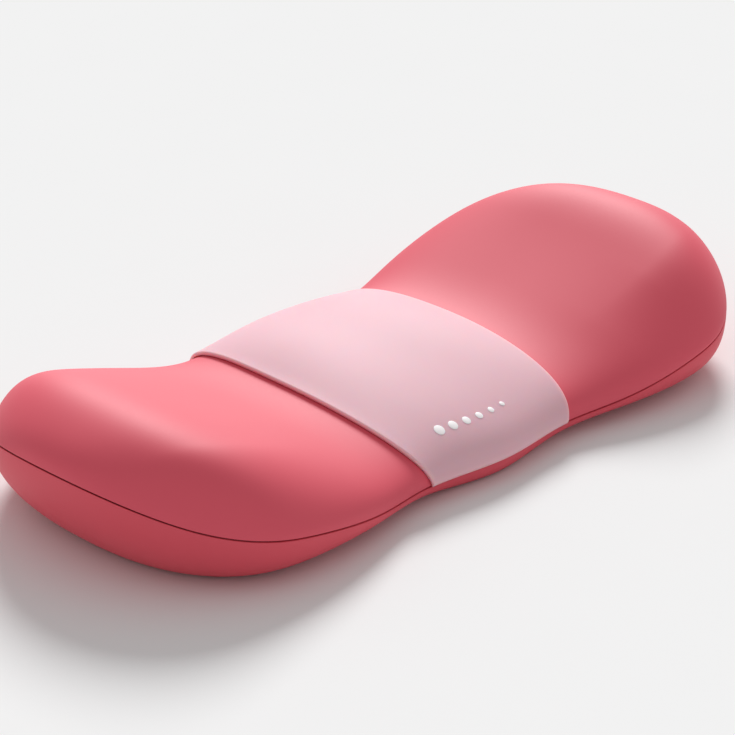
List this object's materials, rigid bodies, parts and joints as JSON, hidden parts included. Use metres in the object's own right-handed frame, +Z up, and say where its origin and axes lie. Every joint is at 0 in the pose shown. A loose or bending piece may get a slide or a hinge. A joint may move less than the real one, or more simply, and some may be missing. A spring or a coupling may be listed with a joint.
{
  "type": "wrist rest",
  "caption": "Two-lobed cushioned wrist rest with a raised boat-shaped underside and a pale band across its waist.",
  "frame": {"origin": "on the desk surface, under the centre of the waist", "axes": "+Z up from the desk, +X along the length, +Y across it towards the back; the printed mark is on the -Y side"},
  "size_m": [0.1698, 0.0774, 0.028],
  "materials": {
    "cover_skin": "soft-touch polyurethane-coated stretch knit, matte",
    "shell_plastic": "fine-textured moulded plastic, matte",
    "band_elastomer": "soft-touch moulded elastomer strip, satin matte",
    "bead_rubber": "extruded rubber bead, matte",
    "mark_ink": "pad-printed white ink, matte",
    "foam": "open-cell slow-rebound foam",
    "gel": "soft translucent gel",
    "tray_plastic": "moulded plastic, matte",
    "screw_steel": "zinc-plated steel",
    "adhesive": "double-sided adhesive film",
    "sole_rubber": "moulded non-slip rubber, matte"
  },
  "bodies": {
    "root": {"top_cover": "cover_skin", "centre_band": "band_elastomer", "band_mark": "mark_ink", "band_adhesive": "adhesive", "foam_core": "foam", "left_gel_pad": "gel", "right_gel_pad": "gel", "core_tray": "tray_plastic", "left_seam_bead": "bead_rubber", "right_seam_bead": "bead_rubber", "lower_shell": "shell_plastic", "assembly_screws": "screw_steel", "sole_pad": "sole_rubber", "sole_adhesive": "adhesive"}
  },
  "joints": []
}
